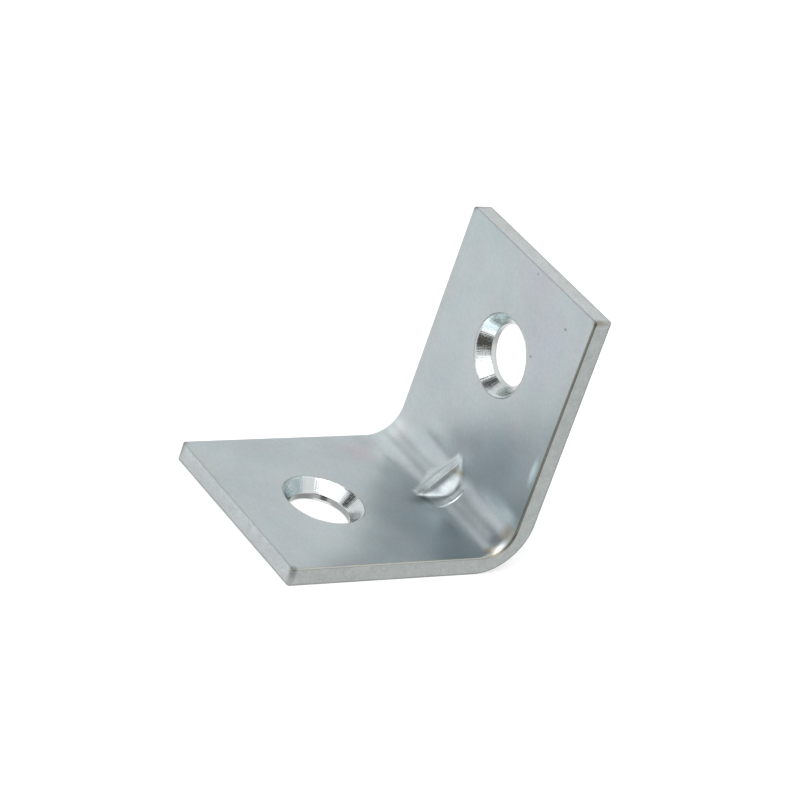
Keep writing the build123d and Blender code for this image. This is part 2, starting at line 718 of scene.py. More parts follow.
class PressAndFold:
    """Geometry node tree that presses the rib into a flat blank and folds it by a quarter turn."""

    def __init__(self, sizes: Sizes, rib: Rib, roll: DieRoll) -> None:
        """Names the tree's inputs and their values.

        Args:
            sizes: The bracket's sizes.
            rib: The rib's sizes.
            roll: The skin's fall towards the +X side.
        """
        self.values = {
            "Thickness": sizes.thickness,
            "Inner radius": sizes.bend_radius,
            "Fold start": sizes.fold_start,
            "Fold run": sizes.fold_run,
            "Half width": sizes.width / 2,
        }
        for part in (rib, roll):
            self.values |= {name.replace("_", " ").capitalize(): value for name, value in vars(part).items()}

    def tree(self) -> bpy.types.NodeTree:
        """Builds the node tree.

        Returns:
            The tree, with one material input for each finish.
        """
        tree = bpy.data.node_groups.new("press_and_fold", "GeometryNodeTree")
        inputs: dict[str, tuple[str, Any]] = {"Geometry": ("NodeSocketGeometry", None)}
        inputs |= {name: ("NodeSocketFloat", 0.0) for name in self.values}
        inputs |= {finish.name.title() + " material": ("NodeSocketMaterial", None) for finish in Finish}
        new_interface(tree, inputs, {"Geometry": "NodeSocketGeometry"})
        graph = Graph(tree)
        given = graph.add("NodeGroupInput").outputs
        place = graph.add("GeometryNodeInputPosition").outputs[0]
        across, along, height = graph.split(place)
        outer_radius = graph.math("ADD", given["Inner radius"], given["Thickness"])
        past_start = graph.math("SUBTRACT", along, given["Fold start"])
        past_end = graph.math("SUBTRACT", past_start, given["Fold run"])
        turned = graph.math("DIVIDE", past_start, given["Fold run"], clamp=True)
        turn = graph.math("MULTIPLY", turned, math.pi / 2)
        ahead = graph.math("MULTIPLY", past_start, -1.0)
        beyond = graph.math("MAXIMUM", graph.math("MAXIMUM", past_end, 0.0), ahead)
        slant = graph.math("COSINE", graph.math("SUBTRACT", turn, math.pi / 4))
        rise = self.rib(graph, given, across, turn, slant, beyond)
        dent = self.dent(graph, given, across)
        fall = graph.math("MAXIMUM", self.lift(graph, outer_radius, dent, slant, beyond), 0.0)
        roll = self.roll(graph, given, across)
        share = graph.math("DIVIDE", height, given["Thickness"], clamp=True)
        lifted = graph.math("MULTIPLY_ADD", graph.math("SUBTRACT", rise, roll), share, height)
        lifted = graph.math("MULTIPLY_ADD", fall, graph.math("SUBTRACT", 1.0, share), lifted)
        radius = graph.math("SUBTRACT", outer_radius, lifted)
        level = graph.math("MINIMUM", along, given["Fold start"])
        y = graph.math("MULTIPLY_ADD", radius, graph.math("SINE", turn), level)
        climb = graph.math("ADD", outer_radius, graph.math("MAXIMUM", past_end, 0.0))
        z = graph.math("SUBTRACT", climb, graph.math("MULTIPLY", radius, graph.math("COSINE", turn)))
        bulge = graph.math("SINE", graph.math("MULTIPLY", turn, 2.0))
        near = graph.math("GREATER_THAN", across, 0.0)
        worn = graph.math("MULTIPLY", near, graph.math("MULTIPLY", bulge, bulge))
        pressed = graph.math("DIVIDE", rise, given["Crest height"], clamp=True)
        shape = self.store(graph, given["Geometry"], "flat", "FLOAT_VECTOR", place)
        shape = self.store(graph, shape, "pressed", "FLOAT", pressed)
        shape = self.store(graph, shape, "worn", "FLOAT", worn)
        folded = {"Geometry": shape, "Position": graph.combine(across, y, z)}
        shape = graph.add("GeometryNodeSetPosition", folded).outputs[0]
        shape = graph.add("GeometryNodeSetShadeSmooth", {"Geometry": shape}).outputs[0]
        shape = graph.add("GeometryNodeRealizeInstances", {"Geometry": shape}).outputs[0]
        finish = graph.add("GeometryNodeInputNamedAttribute", {"Name": "finish"}, data_type="INT").outputs[0]
        for kind in Finish:
            choice = {2: finish, 3: int(kind)}
            same = graph.add("FunctionNodeCompare", choice, data_type="INT", operation="EQUAL").outputs[0]
            coat = {"Geometry": shape, "Selection": same, "Material": given[kind.name.title() + " material"]}
            shape = graph.add("GeometryNodeSetMaterial", coat).outputs[0]
        graph.add("NodeGroupOutput", {"Geometry": shape})
        return tree

    @staticmethod
    def store(graph: Graph, shape: Any, name: str, kind: str, value: Any) -> Socket:
        """Stores a value on the points under a name.

        Args:
            graph: The tree's graph.
            shape: The geometry.
            name: The attribute's name.
            kind: The attribute's type.
            value: The value.

        Returns:
            The geometry with the attribute.
        """
        inputs = {"Geometry": shape, "Name": name, "Value": value}
        node = graph.add("GeometryNodeStoreNamedAttribute", inputs, data_type=kind, domain="POINT")
        return node.outputs[0]

    @staticmethod
    def lift(graph: Graph, radius: Any, profile: Any, slant: Any, beyond: Any) -> Socket:
        """Height of a profile drawn straight along the fold's chord, over a skin of that radius."""
        chord = graph.math("DIVIDE", graph.math("SUBTRACT", radius, profile), slant)
        return graph.math("SUBTRACT", graph.math("SUBTRACT", radius, chord), beyond)

    def rib(self, graph: Graph, given: Any, across: Any, turn: Any, slant: Any, beyond: Any) -> Socket:
        """Height of the rib: a flat crest with hollow flanks, joined to the pad round it.

        Args:
            graph: The tree's graph.
            given: The tree's inputs.
            across: Place across the blank.
            turn: Angle that the sheet has turned through.
            slant: Cosine of the angle from the middle of the fold.
            beyond: Distance past either end of the fold.

        Returns:
            The height over the inner skin.
        """
        off = graph.math("ABSOLUTE", graph.math("SUBTRACT", across, given["Middle"]))
        off = graph.math("MAXIMUM", graph.math("SUBTRACT", off, given["Crest half width"]), 0.0)
        rounding = given["Crest rounding"]
        squares = graph.math("MULTIPLY_ADD", rounding, rounding, graph.math("MULTIPLY", off, off))
        blunt = graph.math("SUBTRACT", graph.math("SQRT", squares), rounding)
        drop = graph.math("MULTIPLY", given["Wall slope"], blunt)
        wall = graph.math("SUBTRACT", given["Crest height"], drop)
        share = graph.math("DIVIDE", blunt, given["Flank width"], clamp=True)
        flank = graph.math("POWER", graph.math("SUBTRACT", 1.0, share), given["Flank power"])
        flank = graph.math("MULTIPLY", given["Flank height"], flank)
        profile = graph.math("SMOOTH_MAX", wall, flank, given["Foot softness"])
        profile = graph.math("MINIMUM", profile, given["Crest height"])
        standing = graph.math("DIVIDE", profile, given["Crest height"])
        past_toe = graph.math("MAXIMUM", graph.math("SUBTRACT", blunt, given["Flank width"]), 0.0)
        profile = graph.math("SUBTRACT", profile, past_toe)
        ridge = self.lift(graph, given["Inner radius"], profile, slant, beyond)
        ends = graph.math("DIVIDE", graph.math("SUBTRACT", turn, math.pi / 4), math.pi / 4)
        ends = graph.math("MULTIPLY", ends, ends)
        standing = graph.math("MULTIPLY_ADD", ends, given["End share"], standing, clamp=True)
        softness = graph.math("MULTIPLY_ADD", given["End softness"], standing, given["Least softness"])
        return graph.math("SMOOTH_MAX", ridge, self.pad(graph, given, across, turn), softness)

    @staticmethod
    def pad(graph: Graph, given: Any, across: Any, turn: Any) -> Socket:
        """Height of the half-moon imprint, which ends in a fine step.

        Args:
            graph: The tree's graph.
            given: The tree's inputs.
            across: Place across the blank.
            turn: Angle that the sheet has turned through.

        Returns:
            The height over the inner skin.
        """
        swing = graph.math("DIVIDE", graph.math("SUBTRACT", turn, given["Pad middle"]), given["Pad reach"])
        swing = graph.math("POWER", graph.math("ABSOLUTE", swing), given["Pad power"])
        left = graph.math("SQRT", graph.math("SUBTRACT", 1.0, swing, clamp=True))
        outline = graph.math("MULTIPLY", given["Pad half width"], left)
        inside = graph.math("SUBTRACT", outline, graph.math("ABSOLUTE", across))
        height = given["Pad step"]
        for value, low, high, first in (
            (turn, 0.0, given["Pad start"], 0.0),
            (turn, given["Pad fade"], given["Pad end"], 1.0),
            (across, given["Pad bare"], given["Pad full"], 0.0),
        ):
            height = graph.math("MULTIPLY", height, graph.remap(value, low, high, first, 1.0 - first))
        return graph.remap(inside, 0.0, given["Pad step width"], 0.0, height)

    @staticmethod
    def roll(graph: Graph, given: Any, across: Any) -> Socket:
        """Fall of the inner skin towards the +X side.

        Args:
            graph: The tree's graph.
            given: The tree's inputs.
            across: Place across the blank.

        Returns:
            The fall below the flat skin.
        """
        inside = graph.math("SUBTRACT", given["Half width"], across)
        reach = given["Roll reach"]
        share = graph.math("DIVIDE", graph.math("SUBTRACT", reach, inside), reach, clamp=True)
        return graph.math("MULTIPLY", given["Roll depth"], graph.math("MULTIPLY", share, share))

    @staticmethod
    def dent(graph: Graph, given: Any, across: Any) -> Socket:
        """Depth of the punch's wedge on the outer skin.

        Args:
            graph: The tree's graph.
            given: The tree's inputs.
            across: Place across the blank.

        Returns:
            The depth at the middle of the fold.
        """
        softness = given["Dent softness"]
        squares = graph.math("MULTIPLY_ADD", softness, softness, graph.math("MULTIPLY", across, across))
        slope = graph.math("DIVIDE", given["Dent depth"], given["Dent half width"])
        fall = graph.math("MULTIPLY", slope, graph.math("SQRT", squares))
        return graph.math("SUBTRACT", given["Dent depth"], fall)

    def fold(self, blank: bpy.types.Object, finishes: dict[Finish, bpy.types.Material]) -> bpy.types.Object:
        """Runs the tree on the flat blank.

        Args:
            blank: The flat blank, which is removed.
            finishes: The material of each finish.

        Returns:
            The folded sheet as a plain mesh object.
        """
        tree = self.tree()
        modifier = blank.modifiers.new("press_and_fold", "NODES")
        modifier.node_group = tree
        values: dict[str, Any] = dict(self.values)
        values |= {finish.name.title() + " material": material for finish, material in finishes.items()}
        for item in tree.interface.items_tree:
            if item.in_out == "INPUT" and item.name in values:
                modifier[item.identifier] = values[item.name]
        graph = bpy.context.evaluated_depsgraph_get()
        folded = bpy.data.meshes.new_from_object(
            blank.evaluated_get(graph), preserve_all_data_layers=True, depsgraph=graph
        )
        folded.name = "folded_sheet"
        flat = blank.data
        bpy.data.objects.remove(blank)
        bpy.data.meshes.remove(flat)
        return new_object("folded_sheet", folded)


def shader_group(
    name: str,
    inputs: dict[str, tuple[str, Any]],
    outputs: dict[str, str],
    fill: Callable[[Graph, Any], dict[str, Any]],
) -> bpy.types.NodeTree:
    """Makes a reusable shader node group.

    Args:
        name: The group's name.
        inputs: Socket type and default of each input, by name.
        outputs: Socket type of each output, by name.
        fill: Adds the group's nodes, given its graph and its input sockets, and returns the output values.

    Returns:
        The group.
    """
    tree = bpy.data.node_groups.new(name, "ShaderNodeTree")
    new_interface(tree, inputs, outputs)
    graph = Graph(tree)
    given = graph.add("NodeGroupInput").outputs
    graph.add("NodeGroupOutput", fill(graph, given))
    return tree


@dataclass(frozen=True)
class Spot:
    """A soft-edged tint on the plating, used for stained patches and for painted light and shade, in
    millimetres from the blank's middle line and the fold's start.
    """

    across: float
    along: float
    reach_across: float
    reach_along: float
    tint: Colour


@dataclass(frozen=True)
class PlatedSkin:
    """Satin plated face of the sheet. The spans are shares of the rib's full height."""

    colour: Colour = (0.485, 0.54, 0.56)
    cloud_size: float = 3.2 * MM
    cloud_tone: float = 0.09
    cloud_roughness: float = 0.05
    grain_size: float = 0.35 * MM
    grain_tone: float = 0.1
    speckle_size: float = 0.2 * MM
    speckle_roughness: float = 0.6
    speckle_tone: float = 0.3
    speckle_relief: float = 0.5
    struck_span: Span = (0.02, 0.1)
    pressed_tone: float = 0.05
    bloom_size: float = 2.1 * MM
    bloom_stretch: tuple[float, float, float] = (1, 1.6, 1)
    bloom_tint: Colour = (0.06, -0.015, -0.02)
    roughness: float = 0.33
    ridge_roughness: float = 0.12
    ridge_span: Span = (0.1, 0.3)
    relief: float = 0.004 * MM


@dataclass(frozen=True)
class RimDirtAndShade:
    """Dark line along the sheet's rims, partly grime and partly painted shade, and darker over the outer
    skin; with a painted brown reflection up the upright's +X side and a painted gold reflection along the
    base's.

    The three colours are changes from white, the spans are distances in from the skin and from the side.
    """

    patch_size: float = 0.8 * MM
    patch_roughness: float = 0.6
    patch_amount: float = 0.9
    amount: float = 0.75
    risen_amount: float = 0.2
    risen_start: float = 2 * MM
    worn_clean: float = 1.4
    inner_drop: Span = (0.15 * MM, 0.05 * MM)
    outer_height: float = 0.3 * MM
    outer_amount: float = 0.7
    side_inset: Span = (0.28 * MM, 0.13 * MM)
    # The dark rim line: partly grime, partly painted shade.
    grey: Colour = (-0.74, -0.74, -0.74)
    # Painted reflection: a dark brown reflection up the upright's +X rim.
    brown: Colour = (-0.60, -0.64, -0.71)
    # Painted reflection: a gold tint along the base's +X rim.
    gold: Colour = (-0.02, -0.1, -0.2)


@dataclass(frozen=True)
class ShearedEdge:
    """Sheared wall round the outline, darker at the burr's foot."""

    colour: Colour = (0.512, 0.546, 0.541)
    grain_size: float = 0.16 * MM
    grain_roughness: float = 0.65
    grain_tone: float = 0.3
    patch_size: float = 1.1 * MM
    patch_tone: float = 0.12
    foot_span: Span = (0.06 * MM, 0.22 * MM)
    foot_shade: float = 0.62
    roughness: float = 0.5
    relief: float = 0.025 * MM


@dataclass(frozen=True)
class TurnedSink:
    """Turned cone of a countersink, with fine rings and the tool's chatter."""

    colour: Colour = (0.60, 0.64, 0.64)
    mark_tone: float = 0.08
    ring_relief: float = 0.35
    speckle_size: float = 0.13 * MM
    speckle_relief: float = 0.5
    roughness: float = 0.14
    relief: float = 0.008 * MM


@dataclass(frozen=True)
class PunchedBore:
    """Punched wall under a countersink. The upright's bore is painted lighter than the base's, whose darker
    colour is painted shade from the floor close under it.
    """

    colour: Colour = (0.36, 0.375, 0.37)
    upright_gain: float = 0.7
    roughness: float = 0.17
class MetalFinish:
    """Builds the bracket's materials.

    A kind of tool mark has how tightly its noise turns round the cone, and its pitch down the cone.
    """

    # Soft tints on the plated skin: a few stained patches of colour, but mostly painted light and shade
    # standing in for the reflections near the fold and the rib.
    stains = (
        # Painted light and shade over the base leg and the fold.
        Spot(7.5, -1.8, 7.0, 4.5, (0.81, 0.845, 0.87)),
        Spot(3.6, -8.0, 3.4, 3.6, (1.15, 1.15, 1.14)),
        Spot(6.0, -12.0, 5.0, 5.5, (1.13, 1.13, 1.12)),
        Spot(-2.4, -2.0, 3.0, 2.2, (1.2, 1.2, 1.19)),
        Spot(-7.0, -4.2, 4.2, 5.0, (0.93, 0.94, 0.95)),
        Spot(0.5, -17.5, 6.5, 4.0, (0.95, 0.95, 0.955)),
        Spot(-7.5, -11.0, 3.8, 9.0, (0.955, 0.955, 0.96)),
        Spot(-4.5, -0.2, 4.5, 1.9, (1.36, 1.34, 1.31)),
        Spot(-2.5, 6.6, 5.0, 2.4, (1.24, 1.23, 1.22)),
        Spot(4.2, 3.2, 3.4, 3.6, (0.78, 0.79, 0.80)),
        # Painted shade and highlights on the rib: a light band on the crest, a dark band beside it and a
        # bright flank.
        Spot(0.6, 5.6, 1.0, 0.9, (0.66, 0.60, 0.50)),
        Spot(0.85, 0.2, 1.1, 3.0, (0.50, 0.50, 0.49)),
        Spot(-0.38, 2.9, 0.66, 3.6, (1.36, 1.35, 1.31)),
        Spot(0.22, 3.14, 0.36, 2.5, (0.70, 0.69, 0.70)),
        Spot(1.25, 3.14, 0.75, 2.6, (0.60, 0.60, 0.60)),
        Spot(0.9, 1.7, 1.1, 1.1, (0.70, 0.70, 0.70)),
        Spot(0.9, 4.5, 1.1, 0.9, (0.80, 0.79, 0.77)),
        Spot(0.25, 0.0, 1.2, 1.0, (0.62, 0.61, 0.60)),
        Spot(0.6, 7.6, 1.7, 1.5, (1.18, 1.17, 1.15)),
        Spot(2.1, -0.4, 1.6, 1.5, (0.80, 0.80, 0.81)),
        Spot(2.7, 4.2, 1.3, 1.3, (0.80, 0.80, 0.81)),
        Spot(1.65, 3.14, 0.5, 1.7, (1.5, 1.5, 1.48)),
        # Painted light and shade along the +X side: painted glints above the fold, and painted brown shade
        # and a painted highlight at the worn lip.
        Spot(8.0, 3.6, 3.2, 1.3, (0.74, 0.75, 0.76)),
        Spot(7.0, 6.3, 4.0, 1.3, (1.66, 1.64, 1.61)),
        Spot(8.5, 6.3, 1.6, 0.9, (1.4, 1.38, 1.36)),
        Spot(9.4, 1.6, 0.8, 0.9, (0.72, 0.64, 0.56)),
        Spot(4.4, 6.2, 2.0, 1.0, (1.16, 1.15, 1.14)),
        Spot(8.7, 3.0, 0.9, 1.0, (0.62, 0.64, 0.70)),
        Spot(9.2, 4.7, 1.3, 1.7, (0.60, 0.52, 0.43)),
        Spot(9.6, 2.3, 1.0, 1.6, (1.12, 0.98, 0.87)),
        Spot(4.5, 9.0, 7.0, 5.5, (0.97, 0.985, 1.01)),
        # Painted light and shade on the -X side and the upright, with a painted streak of light along the
        # upright's +X rim.
        Spot(-3.0, 7.0, 3.2, 1.7, (1.2, 1.2, 1.19)),
        Spot(-4.4, 3.6, 2.6, 1.3, (1.16, 1.16, 1.15)),
        Spot(-6.0, 2.2, 3.0, 1.2, (1.14, 1.14, 1.13)),
        Spot(-9.2, 3.2, 1.8, 2.2, (1.32, 1.31, 1.29)),
        Spot(-8.8, -1.2, 1.8, 1.5, (0.92, 0.92, 0.93)),
        Spot(-6.0, 11.6, 4.6, 5.0, (0.94, 0.94, 0.945)),
        Spot(0.8, 24.5, 7.0, 7.0, (0.955, 0.955, 0.96)),
        Spot(8.3, 17.0, 1.8, 6.0, (1.06, 1.06, 1.06)),
        Spot(-8.8, 3.2, 4.0, 3.0, (1.25, 1.23, 1.20)),
        Spot(9.2, 11.6, 0.5, 2.0, (1.6, 1.7, 1.7)),
        # Faint stained patches of colour, and warm, lighter halos round the two holes.
        Spot(-7.3, -2.6, 2.2, 2.6, (1.08, 0.95, 0.96)),
        Spot(1.7, 26.0, 3.0, 3.4, (1.05, 0.97, 1.0)),
        Spot(5.0, 22.0, 3.5, 6.0, (1.01, 0.96, 1.0)),
        Spot(-7.0, 27.0, 4.0, 6.0, (0.97, 1.01, 1.0)),
        Spot(-10.0, 17.0, 1.8, 14.0, (1.0, 0.97, 0.92)),
        Spot(-6.0, -20.0, 12.0, 1.6, (1.0, 0.98, 0.93)),
        Spot(0.0, -10.75, 5.5, 5.5, (1.16, 1.08, 0.94)),
        Spot(0.0, 17.88, 5.5, 5.5, (1.16, 1.08, 0.96)),
    )
    # Painted light: the two end faces of the sheared wall are painted lighter.
    sheared = (
        Spot(0.0, 27.4, 30.0, 0.9, (1.12, 1.1, 1.11)),
        Spot(0.0, -19.95, 30.0, 0.9, (1.06, 1.07, 1.1)),
    )
    # Painted shade: the four plan corners are painted darker, on the skin and the sheared wall.
    corners = (
        Spot(-9.9, -19.9, 0.6, 0.6, (0.42, 0.40, 0.38)),
        Spot(9.95, -19.9, 0.7, 0.7, (0.40, 0.39, 0.38)),
        Spot(-9.9, 27.4, 0.6, 0.6, (0.50, 0.47, 0.44)),
        Spot(9.95, 27.4, 0.6, 0.6, (0.50, 0.45, 0.39)),
    )
    specks = (
        Spot(3.77, 20.13, 0.22, 0.2, (0.35, 0.38, 0.4)),
        Spot(6.75, 24.75, 0.25, 0.22, (0.4, 0.42, 0.45)),
        Spot(1.0, 26.9, 0.18, 0.16, (0.5, 0.52, 0.55)),
    )
    spot_depth = 3 * MM
    tool_marks = {"Rings": (2.0, 0.07 * MM), "Flutes": (24.0, 1.2 * MM)}
    def __init__(self, sizes: Sizes) -> None:
        """Makes the effects that the materials share.

        Args:
            sizes: The bracket's sizes.
        """
        self.sizes = sizes
        self.mottle = shader_group(
            "mottle",
            {
                "Place": ("NodeSocketVector", None),
                "Size": ("NodeSocketFloat", MM),
                "Stretch": ("NodeSocketVector", (1.0, 1.0, 1.0)),
                "Detail": ("NodeSocketFloat", 3.0),
                "Roughness": ("NodeSocketFloat", 0.5),
            },
            {"Amount": "NodeSocketFloat"},
            self.fill_mottle,
        )
        self.turned = shader_group(
            "turned",
            {
                "Place": ("NodeSocketVector", None),
                "First centre": ("NodeSocketFloat", None),
                "Second centre": ("NodeSocketFloat", None),
                "Split": ("NodeSocketFloat", None),
            },
            {"Rings": "NodeSocketFloat", "Flutes": "NodeSocketFloat"},
            self.fill_turned,
        )
        self.spot = shader_group(
            "spot",
            {
                "Colour": ("NodeSocketColor", None),
                "Place": ("NodeSocketVector", None),
                "Centre": ("NodeSocketVector", None),
                "Reach": ("NodeSocketVector", None),
                "Tint": ("NodeSocketColor", None),
            },
            {"Colour": "NodeSocketColor"},
            self.fill_spot,
        )

    @classmethod
    def fill_turned(cls, graph: Graph, given: Any) -> dict[str, Any]:
        """Noise laid round the nearer of two holes: in rings down the cone, and in flutes round it.

        Args:
            graph: The group's graph.
            given: The group's inputs.

        Returns:
            The group's outputs, by name.
        """
        x, y, z = graph.split(given["Place"])
        second = graph.math("GREATER_THAN", y, given["Split"])
        shift = graph.math("SUBTRACT", given["Second centre"], given["First centre"])
        centre = graph.math("MULTIPLY_ADD", second, shift, given["First centre"])
        away = graph.vector("NORMALIZE", graph.combine(x, graph.math("SUBTRACT", y, centre), 0.0))
        found = {}
        for name, (reach, pitch) in cls.tool_marks.items():
            depth = graph.combine(0.0, 0.0, graph.math("MULTIPLY", z, 1 / pitch))
            vector = graph.vector("MULTIPLY_ADD", away, (reach, reach, reach), depth)
            noise = graph.add("ShaderNodeTexNoise", {"Vector": vector, "Scale": 1.0, "Detail": 2.0})
            found[name] = graph.math("MULTIPLY_ADD", noise.outputs[0], 2.0, -1.0)
        return found

    @staticmethod
    def fill_spot(graph: Graph, given: Any) -> dict[str, Any]:
        """Multiplies a colour by a tint inside a soft ellipse.

        Args:
            graph: The group's graph.
            given: The group's inputs.

        Returns:
            The group's outputs, by name.
        """
        off = graph.vector("SUBTRACT", given["Place"], given["Centre"])
        off = graph.vector("LENGTH", graph.vector("DIVIDE", off, given["Reach"]))
        inputs = {0: graph.remap(off, 0.0, 1.0, 1.0, 0.0), 6: given["Colour"], 7: given["Tint"]}
        mix = graph.add("ShaderNodeMix", inputs, data_type="RGBA", blend_type="MULTIPLY")
        return {"Colour": mix.outputs[2]}

    @staticmethod
    def fill_mottle(graph: Graph, given: Any) -> dict[str, Any]:
        """Noise round zero, with grains of a given size and stretch.

        Args:
            graph: The group's graph.
            given: The group's inputs.

        Returns:
            The group's outputs, by name.
        """
        place = graph.vector("DIVIDE", given["Place"], given["Stretch"])
        scale = graph.math("DIVIDE", 1.0, given["Size"])
        noise = graph.add(
            "ShaderNodeTexNoise",
            {"Vector": place, "Scale": scale, "Detail": given["Detail"], "Roughness": given["Roughness"]},
        )
        return {"Amount": graph.math("MULTIPLY", graph.math("SUBTRACT", noise.outputs[0], 0.5), 2.0)}

    def spotted(self, graph: Graph, colour: Any, place: Any, spots: Sequence[Spot]) -> Socket:
        """Lays soft spots over a colour.

        Args:
            graph: The material's graph.
            colour: The colour under the spots.
            place: Place on the flat blank.
            spots: The spots.

        Returns:
            The spotted colour.
        """
        for spot in spots:
            values = {
                "Colour": colour,
                "Place": place,
                "Centre": (spot.across * MM, spot.along * MM + self.sizes.fold_start, self.sizes.thickness),
                "Reach": (spot.reach_across * MM, spot.reach_along * MM, self.spot_depth),
                "Tint": (*spot.tint, 1),
            }
            colour = graph.add("ShaderNodeGroup", values, node_tree=self.spot).outputs[0]
        return colour

    def noise(self, graph: Graph, place: Any, size: float, detail: float = 2, **others: Any) -> Socket:
        """Adds the shared noise to a material and returns its amount, round zero.

        Args:
            graph: The material's graph.
            place: Place to read the noise at.
            size: Size of its grains.
            detail: How many finer layers it has.
            others: Its stretch and roughness, by the names of the group's inputs.

        Returns:
            The amount.
        """
        values = {"Place": place, "Size": size, "Detail": detail, **others}
        return graph.add("ShaderNodeGroup", values, node_tree=self.mottle).outputs[0]

    @staticmethod
    def principled(name: str) -> tuple[bpy.types.Material, Graph, bpy.types.Node]:
        """Starts a material with a metallic Principled BSDF.

        Args:
            name: The material's name.

        Returns:
            The material, its graph and its shader.
        """
        material = bpy.data.materials.new(name)
        graph = new_graph(material)
        shader = graph.add("ShaderNodeBsdfPrincipled", {"Metallic": 1.0})
        graph.add("ShaderNodeOutputMaterial", {"Surface": shader.outputs[0]})
        return material, graph, shader

    @staticmethod
    def stored(graph: Graph, name: str, output: str = "Vector") -> Socket:
        """Reads an attribute stored on the mesh."""
        return graph.add("ShaderNodeAttribute", attribute_name=name).outputs[output]

    def skin(self) -> bpy.types.Material:
        """Satin plated face of the sheet."""
        look = PlatedSkin()
        material, graph, shader = self.principled("plated_skin")
        flat = self.stored(graph, "flat")
        pressed = self.stored(graph, "pressed", "Fac")
        cloud = self.noise(graph, flat, look.cloud_size)
        grain = self.noise(graph, flat, look.grain_size, 3)
        speckle = self.noise(graph, flat, look.speckle_size, Roughness=look.speckle_roughness)
        speckle = graph.math("MULTIPLY", speckle, graph.remap(pressed, *look.struck_span, 0.0, 1.0))
        tone = graph.math("MULTIPLY_ADD", grain, look.grain_tone, 1.0)
        tone = graph.math("MULTIPLY_ADD", cloud, look.cloud_tone, tone)
        tone = graph.math("MULTIPLY_ADD", speckle, look.speckle_tone, tone)
        tone = graph.math("MULTIPLY_ADD", pressed, look.pressed_tone, tone)
        bloom = self.noise(graph, flat, look.bloom_size, Stretch=look.bloom_stretch)
        bloom = graph.tint(bloom, look.bloom_tint)
        colour = graph.vector("MULTIPLY", graph.toned(look.colour, tone), bloom)
        # Stained patches and pits, with painted light and shade from the spot tables and painted shade at the
        # corners.
        colour = self.spotted(graph, colour, flat, (*self.stains, *self.specks, *self.corners))
        # Rim line, partly grime and partly painted shade, with painted reflections along the +X side.
        colour = graph.vector("MULTIPLY", colour, self.rim_tint(graph, flat))
        graph.put(shader, "Base Color", colour)
        rough = graph.math("MULTIPLY_ADD", cloud, look.cloud_roughness, look.roughness)
        ridge = graph.remap(pressed, *look.ridge_span, 0.0, 1.0)
        graph.put(shader, "Roughness", graph.math("MULTIPLY_ADD", ridge, look.ridge_roughness, rough))
        height = graph.math("MULTIPLY_ADD", speckle, look.speckle_relief, grain)
        graph.relief(shader, height, look.relief)
        return material

    def rim_tint(self, graph: Graph, flat: Any) -> Socket:
        """Tint along the sheet's rims: a dark line, partly grime and partly painted shade, and painted brown
        and gold reflections along the +X side.

        Args:
            graph: The material's graph.
            flat: Place on the flat blank.

        Returns:
            The tint: white off the rims.
        """
        s, dirt_and_shade = self.sizes, RimDirtAndShade()
        across, along, height = graph.split(flat)
        patchy = self.noise(graph, flat, dirt_and_shade.patch_size, 3, Roughness=dirt_and_shade.patch_roughness)
        risen = graph.remap(along, s.fold_start + dirt_and_shade.risen_start, s.fold_start + s.fold_run, 0.0, 1.0)
        worn = graph.math("MULTIPLY", self.stored(graph, "worn", "Fac"), dirt_and_shade.worn_clean)
        not_worn = graph.math("SUBTRACT", 1.0, worn, clamp=True)
        inner = graph.remap(height, *(s.thickness - drop for drop in dirt_and_shade.inner_drop), 1.0, 0.0)
        inner = graph.math("MULTIPLY", inner, graph.math("GREATER_THAN", height, s.thickness / 2))
        amount = graph.math("MULTIPLY_ADD", patchy, dirt_and_shade.patch_amount, dirt_and_shade.amount)
        amount = graph.math("MULTIPLY_ADD", risen, dirt_and_shade.risen_amount, amount, clamp=True)
        inner = graph.math("MULTIPLY", graph.math("MULTIPLY", inner, amount), not_worn)
        outer = graph.math("MULTIPLY", graph.math("LESS_THAN", height, dirt_and_shade.outer_height), dirt_and_shade.outer_amount)
        grey = graph.tint(graph.math("MAXIMUM", inner, outer, clamp=True), dirt_and_shade.grey)
        side = graph.remap(across, *(s.width / 2 - inset for inset in dirt_and_shade.side_inset), 0.0, 1.0)
        brown = graph.tint(graph.math("MULTIPLY", side, risen), dirt_and_shade.brown)
        gold = graph.tint(graph.math("MULTIPLY", side, graph.math("SUBTRACT", 1.0, risen)), dirt_and_shade.gold)
        return graph.vector("MULTIPLY", graph.vector("MULTIPLY", grey, brown), gold)

    def edge(self) -> bpy.types.Material:
        """Sheared wall round the outline."""
        look = ShearedEdge()
        material, graph, shader = self.principled("sheared_edge")
        place = self.stored(graph, "wall")
        grain = self.noise(graph, place, look.grain_size, 3, Roughness=look.grain_roughness)
        patch = self.noise(graph, place, look.patch_size)
        tone = graph.math("MULTIPLY_ADD", patch, look.patch_tone, 1.0)
        tone = graph.math("MULTIPLY_ADD", grain, look.grain_tone, tone)
        shade = graph.remap(graph.split(place)[2], *look.foot_span, look.foot_shade, 1.0)
        colour = graph.toned(look.colour, graph.math("MULTIPLY", tone, shade))
        # Painted light on the two end faces, and painted shade at the corners.
        graph.put(shader, "Base Color", self.spotted(graph, colour, place, (*self.sheared, *self.corners)))
        graph.put(shader, "Roughness", look.roughness)
        graph.relief(shader, grain, look.relief)
        return material

